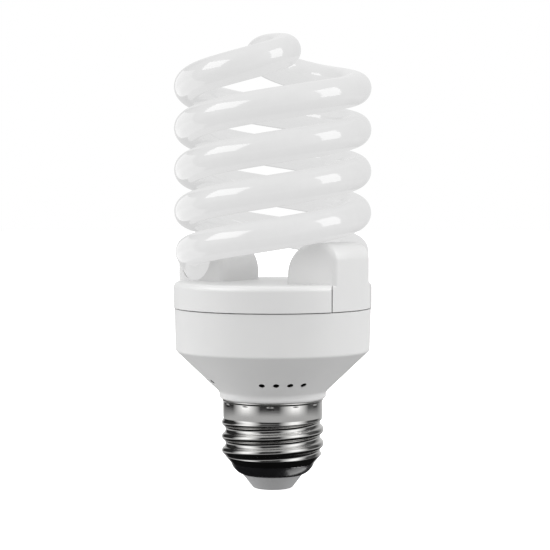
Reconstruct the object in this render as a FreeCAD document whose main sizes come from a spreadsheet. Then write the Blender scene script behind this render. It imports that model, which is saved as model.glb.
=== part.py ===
# Spiral energy saving lamp: a double helix of opal glass tube, a cover with two tube hoods,
# a moulded ballast housing, a screw base and the ballast inside.
# Millimetres, +Z up along the lamp's axis, origin at the middle of the centre contact's flat end.
import FreeCAD
import Part
import Sketcher
import math
import os

doc = FreeCAD.newDocument("spiral_lamp")

# Driving dimensions: alias, value (millimetres, or degrees for a bearing), what it is
SIZES = (
    ("contact_face_radius", 5.0, "flat end of the centre contact"),
    ("contact_rim_radius", 7.85, "wide end of the centre contact"),
    ("contact_height", 3.65, "centre contact, flat end to insulator"),
    ("contact_edge_round", 0.9, "edge of the contact's flat end"),
    ("contact_hole_depth", 2.2, "solder hole for the contact lead"),
    ("insulator_foot_step", 0.2, "insulator's foot outside the contact's rim"),
    ("insulator_height", 2.85, "insulator that shows below the shell"),
    ("insulator_flank", 4.6, "radius of the insulator's rounded flank"),
    ("insulator_plug", 2.4, "insulator inside the shell"),
    ("insulator_gap", 0.15, "insulator's plug to the shell's edge"),
    ("crest_radius", 13.12, "thread crest of the screw shell"),
    ("thread_depth", 0.95, "crest to root"),
    ("thread_pitch", 3.629, "seven threads to the inch"),
    ("thread_start", 5.18, "height of the thread's first crest, on +Y"),
    ("root_land", 0.06, "root cylinder above the thread's lowest arc"),
    ("shell_wall", 0.3, "sheet of the screw shell"),
    ("shell_height", 16.7, "screw shell, lower edge to rim"),
    ("shell_nose_radius", 10.7, "shell's lower edge"),
    ("shell_nose_height", 2.3, "cone at the shell's lower end"),
    ("skirt_height", 4.8, "plain skirt under the rim"),
    ("skirt_run", 0.9, "slope from the skirt to the thread root"),
    ("skirt_step", 0.32, "skirt inside the thread crest"),
    ("bead_height", 0.75, "rolled bead at the shell's rim"),
    ("bead_round", 0.42, "radius of that bead"),
    ("dimple_radius", 0.9, "punch that crimps the skirt"),
    ("dimple_depth", 0.2, "depth of a crimp"),
    ("dimple_drop", 1.4, "crimps below the rim"),
    ("dimple_count", 12, "crimps round the skirt"),
    ("dimple_bearing", 267.0, "bearing of the first crimp"),
    ("neck_clearance", 0.25, "housing neck inside the shell"),
    ("neck_length", 12.6, "neck below the lip"),
    ("neck_wall", 1.4, "wall of the neck"),
    ("lip_overhang", 0.95, "housing lip outside the skirt"),
    ("lip_height", 1.7, "lip above the shell's rim"),
    ("lip_round", 0.7, "lip's lower edge"),
    ("lip_blend", 1.5, "lip into the cone"),
    ("bend_round", 0.9, "cone into the barrel"),
    ("cone_height", 10.7, "cone of the housing"),
    ("barrel_height", 10.7, "straight wall of the housing"),
    ("housing_radius", 25.2, "housing at its mouth"),
    ("housing_draft", 0.3, "housing narrower at the bend"),
    ("housing_wall", 1.3, "wall of the housing"),
    ("vent_radius", 0.8, "vent holes in the cone"),
    ("vent_height", 3.1, "vents above the lip"),
    ("vent_pitch", 12.0, "degrees between vents"),
    ("vent_bearing", 260.8, "bearing of the first group's first vent"),
    ("vent_group", 4, "vents in a group"),
    ("vent_groups", 4, "groups round the cone"),
    ("rib_count", 6, "ribs that carry the board"),
    ("rib_width", 1.4, "board rib"),
    ("rib_reach", 1.6, "rib under the board's edge"),
    ("rib_bearing", 27.6, "bearing of the first rib"),
    ("board_depth", 1.9, "board below the housing's mouth"),
    ("board_thickness", 1.6, "circuit board"),
    ("board_clearance", 0.3, "board to housing wall"),
    ("parting_gap", 0.25, "shadow line between housing and cover"),
    ("band_step", 0.2, "cover's band outside the housing"),
    ("band_height", 6.6, "cover's band, parting line to deck"),
    ("band_round", 1.4, "band's upper edge"),
    ("cover_wall", 1.1, "wall of the cover"),
    ("tongue_clearance", 0.2, "cover's tongue inside the housing"),
    ("tongue_wall", 1.2, "cover's tongue"),
    ("tongue_shoulder", 1.2, "tongue's root above the parting line"),
    ("tower_bearing", 147.6, "bearing of the first tube hood"),
    ("tower_step", 0.3, "hood's outer wall inside the band"),
    ("tower_half_width", 8.7, "hood's middle to its end faces"),
    ("tower_inner", 9.3, "lamp's axis to the hood's inner wall"),
    ("tower_inner_round", 8.0, "hood's inner top edge"),
    ("tower_outer_round", 4.2, "hood's outer top edge"),
    ("tower_flat", 3.6, "flat roof left between those edges"),
    ("tower_end_round", 1.5, "edge of a hood's end faces"),
    ("tower_roof", 1.2, "hood's roof over the tube's entry"),
    ("recess_margin", 1.2, "band's end to a hood's end face"),
    ("groove_width", 0.55, "shadow groove at the band's ends"),
    ("groove_depth", 0.35, "that groove, towards the lamp's axis"),
    ("groove_lean", 57.6, "degrees between that groove and the hood's bearing"),
    ("entry_clearance", 0.25, "hole round the tube"),
    ("glass_radius", 4.0, "glass tube"),
    ("coil_overhang", 0.06, "coil outside the hood's wall"),
    ("leg_pitch", 21.1, "rise of one leg in a turn"),
    ("leg_turns", 2.215, "turns from a hood's middle to the bridge"),
    ("leg_rise", 5.3, "helix above the deck at the hood's middle"),
    ("leg_end_turn", 3.0, "degrees that a leg runs past the hood's middle"),
    ("dip_run", 8.5, "bend that dips a leg under the roof"),
    ("dip_slope", 0.46, "fall of a leg past that bend"),
    ("tuck_run", 11.0, "bend that draws a leg in from the hood's wall"),
    ("tuck_after", 2.6, "that bend's run past the hood's end face"),
    ("tuck_gap", 0.4, "leg to the hood's wall"),
    ("bridge_rise", 7.1, "helix's end to the bridge's middle"),
    ("cement_film", 0.02, "cement to glass"),
    ("cement_length", 5.0, "cement along the leg"),
    ("cement_margin", 0.1, "cement to the roof's outer rounding"),
    ("cement_height", 7.6, "cement below the hood's roof"),
    ("pin_half_width", 0.4, "wrap pins on the board"),
    ("pin_height", 3.0, "wrap pins above the board"),
    ("pin_turn", 18.0, "degrees from a hood's middle to its pins"),
    ("pin_spread", 1.3, "half the distance between a pair of pins"),
    ("lead_radius", 0.3, "lead wires"),
    ("lead_bend", 0.9, "bends of the lead wires"),
    ("lead_stub", 1.6, "lead, straight out of the glass"),
    ("shell_lead_gap", 1.02, "shell's lead to the neck's wall"),
    ("shell_lead_bearing", 60.0, "bearing of the shell's lead"),
    ("contact_lead_reach", 6.4, "axis to the contact's lead"),
    ("contact_lead_bearing", 90.0, "bearing of the contact's lead"),
    ("reservoir_radius", 5.0, "reservoir capacitor"),
    ("reservoir_length", 20.0, "reservoir capacitor, down into the neck"),
    ("reservoir_crimp", 0.5, "half the height of its crimp, and its rim's bevel"),
    ("reservoir_crimp_radius", 0.6, "roller that crimps it"),
    ("reservoir_crimp_drop", 2.2, "its crimp below the board"),
    ("choke_reach", 12.5, "axis to the choke"),
    ("choke_bearing", 200.0, "bearing of the choke"),
    ("choke_width", 13.0, "choke core across its legs"),
    ("choke_depth", 6.0, "choke core's thickness"),
    ("choke_height", 9.6, "choke core from the board down"),
    ("choke_yoke", 1.8, "choke core's yokes and outer legs"),
    ("choke_leg", 3.6, "choke core's middle leg"),
    ("choke_fit", 0.1, "bobbin round the middle leg, and in the window"),
    ("bobbin_wall", 0.5, "bobbin"),
    ("winding_gap", 0.2, "winding to the core's outer legs"),
    ("ring_reach", 13.2, "axis to the drive ring"),
    ("ring_bearing", 90.0, "bearing of the drive ring"),
    ("ring_radius", 4.4, "drive ring"),
    ("ring_bore", 2.4, "drive ring's hole"),
    ("ring_height", 3.4, "drive ring"),
    ("ring_coil_width", 1.8, "a winding on the drive ring"),
    ("ring_coil_wall", 0.45, "wire on the drive ring"),
    ("ring_coil_count", 3, "windings on the drive ring"),
    ("resonant_reach", 12.2, "axis to the resonant capacitor"),
    ("resonant_length", 10.0, "resonant capacitor"),
    ("resonant_width", 3.8, "resonant capacitor"),
    ("resonant_height", 8.0, "resonant capacitor"),
    ("coupling_reach", 17.2, "axis to the coupling capacitor"),
    ("coupling_length", 7.0, "coupling capacitor"),
    ("coupling_width", 3.4, "coupling capacitor"),
    ("coupling_height", 7.0, "coupling capacitor"),
    ("film_bearing", 8.0, "bearing of the two film capacitors"),
    ("film_round", 0.8, "dipped edges of a film capacitor"),
    ("transistor_radius", 2.4, "switching transistors"),
    ("transistor_flat", 1.3, "a transistor's flat face"),
    ("transistor_height", 4.8, "switching transistors"),
    ("transistor_bearing", 48.0, "bearing of the transistors"),
    ("transistor_near", 13.0, "axis to the inner transistor"),
    ("transistor_far", 18.4, "axis to the outer transistor"),
    ("starter_reach", 12.0, "axis to the starting thermistor"),
    ("starter_bearing", 130.0, "bearing of the starting thermistor"),
    ("starter_radius", 3.3, "starting thermistor"),
    ("starter_width", 2.4, "starting thermistor"),
    ("line_choke_reach", 14.0, "axis to the line filter choke"),
    ("line_choke_bearing", 248.0, "bearing of the line filter choke"),
    ("line_choke_radius", 2.9, "line filter choke's flanges"),
    ("line_choke_waist", 2.2, "line filter choke's winding"),
    ("line_choke_height", 6.5, "line filter choke"),
    ("line_choke_flange", 0.9, "line filter choke's flanges"),
    ("wire_radius", 0.3, "leads of the small parts"),
    ("wire_bend", 0.6, "bends of those leads"),
    ("diode_reach", 14.0, "axis to the rectifier diodes"),
    ("diode_bearing", 290.0, "bearing of the first diode"),
    ("diode_pitch", 15.0, "degrees between diodes"),
    ("diode_count", 4, "rectifier bridge"),
    ("diode_radius", 1.2, "a diode"),
    ("diode_length", 4.6, "a diode"),
    ("fuse_reach", 14.0, "axis to the fuse resistor"),
    ("fuse_bearing", 272.0, "bearing of the fuse resistor"),
    ("fuse_radius", 1.4, "fuse resistor"),
    ("fuse_length", 6.0, "fuse resistor"),
    ("resistor_reach", 7.4, "axis to the bias resistors"),
    ("resistor_bearing_a", 30.0, "bearing of the first bias resistor"),
    ("resistor_bearing_b", 130.0, "bearing of the second bias resistor"),
    ("resistor_bearing_c", 290.0, "bearing of the third bias resistor"),
    ("resistor_radius", 0.8, "a bias resistor"),
    ("resistor_length", 3.2, "a bias resistor"),
    ("trigger_bearing", 340.0, "bearing of the trigger diode"),
    ("trigger_radius", 0.7, "trigger diode"),
    ("trigger_length", 2.8, "trigger diode"),
    ("axial_margin", 1.0, "a lead's foot past the end of its part"),
    ("axial_gap", 0.4, "a small part below the board"),
)

sheet = doc.addObject("Spreadsheet::Sheet", "Sizes")
for row, (alias, size, note) in enumerate(SIZES, start=1):
    sheet.set(f"A{row}", note)
    sheet.set(f"B{row}", str(size))
    sheet.setAlias(f"B{row}", alias)
doc.recompute()

# Heights above the contact's flat end
SHELL_END = "(Sizes.contact_height + Sizes.insulator_height)"
RIM = f"({SHELL_END} + Sizes.shell_height)"
SKIRT_END = f"({RIM} - Sizes.skirt_height)"
NOSE_TOP = f"({SHELL_END} + Sizes.shell_nose_height)"
NECK_END = f"({RIM} - Sizes.neck_length)"
LIP_TOP = f"({RIM} + Sizes.lip_height)"
BEND = f"({LIP_TOP} + Sizes.cone_height)"
MOUTH = f"({BEND} + Sizes.barrel_height)"
BOARD_TOP = f"({MOUTH} - Sizes.board_depth)"
BOARD_UNDER = f"({BOARD_TOP} - Sizes.board_thickness)"
BAND = f"({MOUTH} + Sizes.parting_gap)"
DECK = f"({BAND} + Sizes.band_height)"

# Radii about the lamp's axis
ROOT = "(Sizes.crest_radius - Sizes.thread_depth)"
LAND = f"({ROOT} + Sizes.root_land)"
SHELL_BORE = f"({ROOT} - Sizes.shell_wall)"
SKIRT = "(Sizes.crest_radius - Sizes.skirt_step)"
SKIRT_BORE = f"({SKIRT} - Sizes.shell_wall)"
NOSE_BORE = "(Sizes.shell_nose_radius - Sizes.shell_wall)"
NECK = f"({SHELL_BORE} - Sizes.neck_clearance)"
NECK_BORE = f"({NECK} - Sizes.neck_wall)"
COLLAR = f"({SKIRT_BORE} - Sizes.neck_clearance)"
LIP = f"({SKIRT} + Sizes.lip_overhang)"
BEND_RADIUS = "(Sizes.housing_radius - Sizes.housing_draft)"
BARREL_BORE = f"({BEND_RADIUS} - Sizes.housing_wall)"
BOARD_RADIUS = f"({BARREL_BORE} - Sizes.board_clearance)"
BAND_RADIUS = "(Sizes.housing_radius + Sizes.band_step)"
TONGUE = f"({BARREL_BORE} - Sizes.tongue_clearance)"
TONGUE_BORE = f"({TONGUE} - Sizes.tongue_wall)"
TOWER_RADIUS = f"({BAND_RADIUS} - Sizes.tower_step)"
COVER_BORE = f"({TOWER_RADIUS} - Sizes.cover_wall)"
COIL_RADIUS = f"({TOWER_RADIUS} - Sizes.glass_radius + Sizes.coil_overhang)"
LEG_RADIUS = f"({COVER_BORE} - Sizes.tuck_gap - Sizes.glass_radius)"
HOOD_ROOF = f"({TOWER_RADIUS} - Sizes.tower_inner - Sizes.tower_outer_round)"
INNER_ROUND = f"min(Sizes.tower_inner_round; {HOOD_ROOF} - Sizes.tower_flat)"

# Where a leg of the tube enters its hood
ENTRY_TURN = f"asin(Sizes.tower_half_width / {COIL_RADIUS}) / 1 deg"
ENTRY_HEIGHT = (f"({DECK} + Sizes.leg_rise + Sizes.leg_pitch * {ENTRY_TURN} / 360"
                " - Sizes.dip_slope * Sizes.dip_run / 2)")
TOWER_TOP = f"({ENTRY_HEIGHT} + Sizes.glass_radius + Sizes.entry_clearance + Sizes.tower_roof)"

UP = FreeCAD.Vector(0, 0, 1)
HALF_TURN = 180
FULL_TURN = 360
PATH_STEP = 15
SAME = 1e-4

parts = []


def number(expression):
    """The value of an expression on the sheet's cells."""
    return float(sheet.evalExpression(expression))


def bind(thing, sizes):
    """Tie properties of a document object to expressions on the sheet."""
    for name, expression in sizes.items():
        thing.setExpression(name, expression)


def place(thing, x="0", y="0", z="0", bearing=None):
    """Tie a thing's place to the sheet, turned about Z where a bearing is given."""
    bind(thing, {"Placement.Base.x": x, "Placement.Base.y": y, "Placement.Base.z": z})
    if bearing:
        thing.setExpression("Placement.Rotation.Angle", f"({bearing}) * 1 deg")


def hang(thing, reach, bearing):
    """Hang a ballast part, modelled with its top at the origin, under the circuit board."""
    place(thing, f"({reach}) * cos({bearing})", f"({reach}) * sin({bearing})", BOARD_UNDER, bearing)


def part(thing, label):
    """Name a finished piece of the lamp."""
    thing.Label = label
    parts.append(thing)
    return thing


def new_body(name):
    return doc.addObject("PartDesign::Body", name)


def origin_feature(body, role):
    return next(item for item in body.Origin.OriginFeatures if item.Role == role)


def new_sketch(body, plane, name):
    sketch = body.newObject("Sketcher::SketchObject", name)
    sketch.AttachmentSupport = [(origin_feature(body, plane), "")]
    sketch.MapMode = "FlatFace"
    return sketch


def arc_middle(start, end, radius, side):
    """The middle of an arc that bulges to the left (side 1) or right (side -1) of start to end."""
    chord = end - start
    sagitta = radius - math.sqrt(radius ** 2 - (chord.Length / 2) ** 2)
    left = FreeCAD.Vector(-chord.y, chord.x, 0).normalize()
    return (start + end) / 2 + left * (side * sagitta)


def outline(sketch, corners):
    """A closed outline. A corner is x, y, and for a leaving arc its radius and side."""
    spots = [FreeCAD.Vector(number(corner[0]), number(corner[1]), 0) for corner in corners]
    edges = []
    for here, corner in enumerate(corners):
        start, end = spots[here], spots[(here + 1) % len(spots)]
        if len(corner) == 2:
            edges.append((sketch.addGeometry(Part.LineSegment(start, end)), 1, 2))
            continue
        middle = arc_middle(start, end, number(corner[2]), corner[3])
        # A sketch's arcs run anticlockwise, which is from start to end where the bulge is on the right
        if corner[3] < 0:
            edges.append((sketch.addGeometry(Part.Arc(start, middle, end)), 1, 2))
        else:
            edges.append((sketch.addGeometry(Part.Arc(end, middle, start)), 2, 1))
    for here, (edge, _, last) in enumerate(edges):
        following, first, _ = edges[(here + 1) % len(edges)]
        sketch.addConstraint(Sketcher.Constraint("Coincident", edge, last, following, first))
    for corner, spot, (edge, first, _) in zip(corners, spots, edges):
        rules = [("DistanceX", (-1, 1, edge, first, spot.x), corner[0]),
                 ("DistanceY", (-1, 1, edge, first, spot.y), corner[1])]
        if len(corner) > 2:
            rules.append(("Radius", (edge, number(corner[2])), corner[2]))
        for kind, values, expression in rules:
            rule = sketch.addConstraint(Sketcher.Constraint(kind, *values))
            sketch.setExpression(f"Constraints[{rule}]", expression)


def revolved(body, name, corners, kind="PartDesign::Revolution"):
    """Turn a closed section in the XZ plane about Z, to add or (Groove) to cut."""
    sketch = new_sketch(body, "XZ_Plane", f"{name}_section")
    outline(sketch, corners)
    feature = body.newObject(kind, name)
    feature.Profile = sketch
    feature.ReferenceAxis = (sketch, ["V_Axis"])
    feature.Angle = FULL_TURN
    return feature


def repeated(body, name, features, count):
    """Repeat features evenly round the lamp's axis."""
    pattern = body.newObject("PartDesign::PolarPattern", name)
    pattern.Originals = features
    pattern.Axis = (origin_feature(body, "Z_Axis"), [""])
    pattern.Angle = FULL_TURN
    pattern.setExpression("Occurrences", count)
    body.Tip = pattern
    return pattern


def rounded(body, name, base, radius, wanted):
    """Round those edges of a feature that the test picks."""
    doc.recompute()
    edges = [f"Edge{index}" for index, edge in enumerate(base.Shape.Edges, start=1) if wanted(edge)]
    fillet = body.newObject("PartDesign::Fillet", name)
    fillet.Base = (base, edges)
    fillet.setExpression("Radius", radius)
    return fillet


def ring(radius, height):
    """A test for the circular edge of a radius at a height."""
    def wanted(edge):
        if edge.Curve.TypeId != "Part::GeomCircle":
            return False
        level = abs(edge.Curve.Center.z - number(height)) < SAME
        return level and abs(edge.Curve.Radius - number(radius)) < SAME

    return wanted


def on_bearing(point, bearing):
    """A point's place along and across a bearing."""
    turn = math.radians(bearing)
    along = point.x * math.cos(turn) + point.y * math.sin(turn)
    across = point.y * math.cos(turn) - point.x * math.sin(turn)
    return along, across


def swept(name, spine, radius):
    """A round bar of a bound radius along a wire."""
    path = doc.addObject("Part::Feature", f"{name}_path")
    path.Shape = spine
    first = spine.OrderedEdges[0]
    section = doc.addObject("Part::Circle", f"{name}_section")
    section.setExpression("Radius", radius)
    start = first.tangentAt(first.FirstParameter)
    section.Placement = FreeCAD.Placement(
        first.valueAt(first.FirstParameter), FreeCAD.Rotation(UP, start))
    bar = doc.addObject("Part::Sweep", name)
    bar.Sections = [section]
    bar.Spine = (path, [f"Edge{index}" for index in range(1, len(spine.Edges) + 1)])
    bar.Solid = True
    return bar


def bent_wire(points, bend):
    """Straight runs through points, with a tangent arc at each corner."""
    edges = []
    start = points[0]
    for before, corner, after in zip(points, points[1:], points[2:]):
        incoming = (before - corner).normalize()
        outgoing = (after - corner).normalize()
        half = incoming.getAngle(outgoing) / 2
        setback = bend / math.tan(half)
        middle = (incoming + outgoing).normalize() * (bend / math.sin(half) - bend)
        arc_start = corner + incoming * setback
        arc_end = corner + outgoing * setback
        edges.append(Part.makeLine(start, arc_start))
        edges.append(Part.Arc(arc_start, corner + middle, arc_end).toShape())
        start = arc_end
    edges.append(Part.makeLine(start, points[-1]))
    return Part.Wire(edges)


def at_bearing(reach, bearing, height):
    """A point from its distance off the axis, bearing in degrees and height."""
    turn = math.radians(bearing)
    return FreeCAD.Vector(reach * math.cos(turn), reach * math.sin(turn), height)


def compound(name, things):
    group = doc.addObject("Part::Compound", name)
    group.Links = things
    return group


def cut(name, base, tool):
    result = doc.addObject("Part::Cut", name)
    result.Base = base
    result.Tool = tool
    return result


def fuse(name, things):
    result = doc.addObject("Part::MultiFuse", name)
    result.Shapes = things
    return result


# Centre contact: a stamped cone with a hole that the contact lead is soldered into
body = new_body("contact_body")
LEAD_HOLE = "(Sizes.lead_radius + Sizes.neck_clearance)"
HOLE_END = "(Sizes.contact_height - Sizes.contact_hole_depth)"
cone = revolved(body, "contact_cone", (
    ("0", "0"),
    ("Sizes.contact_face_radius", "0"),
    ("Sizes.contact_rim_radius", "Sizes.contact_height"),
    (LEAD_HOLE, "Sizes.contact_height"),
    (LEAD_HOLE, HOLE_END),
    ("0", HOLE_END),
))
rounded(body, "contact_edge", cone, "Sizes.contact_edge_round", ring("Sizes.contact_face_radius", "0"))
part(body, "centre_contact")

# Insulator: black glass moulded into the shell's lower end, with a hole for the contact lead
body = new_body("insulator_body")
PLUG = f"({NOSE_BORE} - Sizes.insulator_gap)"
PLUG_TOP = f"({SHELL_END} + Sizes.insulator_plug)"
revolved(body, "insulator_turned", (
    (LEAD_HOLE, "Sizes.contact_height"),
    ("Sizes.contact_rim_radius + Sizes.insulator_foot_step", "Sizes.contact_height",
     "Sizes.insulator_flank", -1),
    ("Sizes.shell_nose_radius", SHELL_END),
    (PLUG, SHELL_END),
    (PLUG, PLUG_TOP),
    (LEAD_HOLE, PLUG_TOP),
))
part(body, "base_insulator")

# Screw shell: turned stock with a rolled thread that runs out into the skirt and the nose, bored
# to a thin wall, with a ring of crimps that holds the shell on the housing's neck
body = new_body("shell_body")
SHELL_STOCK = "(Sizes.crest_radius + Sizes.shell_wall)"
STOCK_END = f"({SKIRT_END} + Sizes.skirt_run * ({SHELL_STOCK} - {SKIRT}) / ({SKIRT} - {LAND}))"
revolved(body, "shell_turned", (
    ("0", SHELL_END),
    (LAND, SHELL_END),
    (LAND, f"{SKIRT_END} - Sizes.skirt_run"),
    (SHELL_STOCK, STOCK_END),
    (SHELL_STOCK, RIM),
    ("0", RIM),
))
# The thread's wave is made of equal arcs that meet halfway between crest and root
HALF_DEPTH = "(Sizes.thread_depth / 2)"
QUARTER_PITCH = "(Sizes.thread_pitch / 4)"
WAVE = f"(({QUARTER_PITCH} ^ 2 + {HALF_DEPTH} ^ 2) / Sizes.thread_depth)"
MIDWAY = f"(Sizes.crest_radius - {HALF_DEPTH})"
FOOT = f"(2 * {QUARTER_PITCH} - sqrt({WAVE} ^ 2 - ({WAVE} - Sizes.root_land) ^ 2))"
BURIED = f"({ROOT} - Sizes.shell_wall / 2)"
ridge = new_sketch(body, "YZ_Plane", "ridge_section")
outline(ridge, (
    (BURIED, f"Sizes.thread_start - {FOOT}"),
    (LAND, f"Sizes.thread_start - {FOOT}", WAVE, 1),
    (MIDWAY, f"Sizes.thread_start - {QUARTER_PITCH}", WAVE, -1),
    (MIDWAY, f"Sizes.thread_start + {QUARTER_PITCH}", WAVE, 1),
    (LAND, f"Sizes.thread_start + {FOOT}"),
    (BURIED, f"Sizes.thread_start + {FOOT}"),
))
thread = body.newObject("PartDesign::AdditiveHelix", "thread_ridge")
thread.Profile = ridge
thread.ReferenceAxis = (ridge, ["V_Axis"])
thread.Mode = "pitch-height-angle"
bind(thread, {
    "Pitch": "Sizes.thread_pitch",
    "Height": f"{SKIRT_END} + {FOOT} + Sizes.shell_wall - Sizes.thread_start",
})
# The thread is trimmed to a cone at the nose, and to the skirt's radius under the rim's bead
CLEAR = f"({SHELL_STOCK} + Sizes.shell_wall)"
NOSE_SLOPE = "(Sizes.shell_nose_height / (Sizes.crest_radius - Sizes.shell_nose_radius))"
revolved(body, "nose_trim", (
    ("0", "0"),
    (CLEAR, "0"),
    (CLEAR, f"{SHELL_END} + ({CLEAR} - Sizes.shell_nose_radius) * {NOSE_SLOPE}"),
    ("Sizes.shell_nose_radius", SHELL_END),
    ("0", SHELL_END),
), "PartDesign::Groove")
revolved(body, "skirt_trim", (
    (SKIRT, f"{SKIRT_END} + Sizes.shell_wall"),
    (CLEAR, f"{SKIRT_END} - Sizes.skirt_run"),
    (CLEAR, f"{RIM} + Sizes.shell_wall"),
    (SKIRT, f"{RIM} + Sizes.shell_wall"),
    (SKIRT, RIM, "Sizes.bead_round", 1),
    (SKIRT, f"{RIM} - Sizes.bead_height"),
), "PartDesign::Groove")
revolved(body, "shell_bore", (
    ("0", f"{SHELL_END} - Sizes.shell_wall"),
    (NOSE_BORE, f"{SHELL_END} - Sizes.shell_wall"),
    (NOSE_BORE, SHELL_END),
    (SHELL_BORE, NOSE_TOP),
    (SHELL_BORE, f"{SKIRT_END} + Sizes.shell_wall - Sizes.skirt_run"),
    (SKIRT_BORE, f"{SKIRT_END} + Sizes.shell_wall"),
    (SKIRT_BORE, f"{RIM} + Sizes.shell_wall"),
    ("0", f"{RIM} + Sizes.shell_wall"),
), "PartDesign::Groove")
dimple = body.newObject("PartDesign::SubtractiveSphere", "crimp")
dimple.AttachmentSupport = [(origin_feature(body, "XY_Plane"), "")]
dimple.MapMode = "FlatFace"
DIMPLE_REACH = f"({SKIRT} + Sizes.dimple_radius - Sizes.dimple_depth)"
bind(dimple, {
    "Radius": "Sizes.dimple_radius",
    "AttachmentOffset.Base.x": f"{DIMPLE_REACH} * cos(Sizes.dimple_bearing)",
    "AttachmentOffset.Base.y": f"{DIMPLE_REACH} * sin(Sizes.dimple_bearing)",
    "AttachmentOffset.Base.z": f"{RIM} - Sizes.dimple_drop",
})
repeated(body, "crimps", [dimple], "Sizes.dimple_count")
part(body, "screw_shell")

# Housing: one moulding with a neck for the shell, a lip, a vented cone and a straight barrel
body = new_body("housing_body")
CONE_RUN = f"({BEND_RADIUS} - {LIP})"
CONE_SLANT = f"sqrt({CONE_RUN} ^ 2 + Sizes.cone_height ^ 2)"
CONE_INSIDE = f"(Sizes.housing_wall * {CONE_SLANT} / {CONE_RUN})"
BEND_INSIDE = f"({BEND} + {CONE_INSIDE} - Sizes.housing_wall * Sizes.cone_height / {CONE_RUN})"
NECK_INSIDE = f"({LIP_TOP} + ({NECK_BORE} - {LIP}) * Sizes.cone_height / {CONE_RUN} + {CONE_INSIDE})"
turning = revolved(body, "housing_turned", (
    (NECK_BORE, NECK_END),
    (NECK, NECK_END),
    (NECK, SKIRT_END),
    (COLLAR, f"{SKIRT_END} + Sizes.skirt_run"),
    (COLLAR, RIM),
    (f"{LIP} - Sizes.lip_round", RIM, "Sizes.lip_round", -1),
    (LIP, f"{RIM} + Sizes.lip_round"),
    (LIP, LIP_TOP),
    (BEND_RADIUS, BEND),
    ("Sizes.housing_radius", MOUTH),
    ("Sizes.housing_radius - Sizes.housing_wall", MOUTH),
    (BARREL_BORE, BEND_INSIDE),
    (NECK_BORE, NECK_INSIDE),
))
blend = rounded(body, "lip_rounding", turning, "Sizes.lip_blend", ring(LIP, LIP_TOP))
rounded(body, "bend_rounding", blend, "Sizes.bend_round", ring(BEND_RADIUS, BEND))
rib = body.newObject("PartDesign::AdditiveBox", "board_rib")
rib.AttachmentSupport = [(origin_feature(body, "XY_Plane"), "")]
rib.MapMode = "FlatFace"
RIB_INNER = f"({BOARD_RADIUS} - Sizes.rib_reach)"
RIB_LENGTH = f"({BARREL_BORE} + Sizes.housing_wall / 2 - {RIB_INNER})"
bind(rib, {
    "Length": RIB_LENGTH,
    "Width": "Sizes.rib_width",
    "Height": f"{BOARD_UNDER} - {BEND}",
    "AttachmentOffset.Base.x": f"{RIB_INNER} * cos(Sizes.rib_bearing)"
                               " + Sizes.rib_width / 2 * sin(Sizes.rib_bearing)",
    "AttachmentOffset.Base.y": f"{RIB_INNER} * sin(Sizes.rib_bearing)"
                               " - Sizes.rib_width / 2 * cos(Sizes.rib_bearing)",
    "AttachmentOffset.Base.z": BEND,
    "AttachmentOffset.Rotation.Angle": "Sizes.rib_bearing * 1 deg",
})
repeated(body, "board_ribs", [rib], "Sizes.rib_count")
VENT_REACH = f"({LIP} + Sizes.vent_height * {CONE_RUN} / Sizes.cone_height)"
for index in range(int(number("Sizes.vent_group"))):
    vent = body.newObject("PartDesign::SubtractiveCylinder", "vent")
    vent.AttachmentSupport = [(origin_feature(body, "XY_Plane"), "")]
    vent.MapMode = "FlatFace"
    bearing = number("Sizes.vent_bearing") + index * number("Sizes.vent_pitch")
    slope = math.degrees(math.atan2(number(CONE_RUN), number("Sizes.cone_height")))
    tilt = FreeCAD.Rotation(FreeCAD.Vector(0, 1, 0), slope - HALF_TURN / 2)
    inward = FreeCAD.Rotation(UP, bearing) * tilt
    depth = number("2 * Sizes.housing_wall")
    spot = at_bearing(number(VENT_REACH), bearing, number(f"{LIP_TOP} + Sizes.vent_height"))
    vent.AttachmentOffset = FreeCAD.Placement(spot - inward.multVec(UP) * depth, inward)
    bind(vent, {"Radius": "Sizes.vent_radius", "Height": "4 * Sizes.housing_wall"})
    repeated(body, "vent_set", [vent], "Sizes.vent_groups")
part(body, "ballast_housing")


# Cover: an outer form less an inner one, both a turned disc with two hoods for the tube's legs
def hood_sketch(form, name, corners):
    """An outline on the parting plane, turned to the first hood's bearing."""
    sketch = new_sketch(form, "XY_Plane", f"{name}_outline")
    bind(sketch, {
        "AttachmentOffset.Base.z": BAND,
        "AttachmentOffset.Rotation.Angle": "Sizes.tower_bearing * 1 deg",
    })
    outline(sketch, corners)
    return sketch


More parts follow.
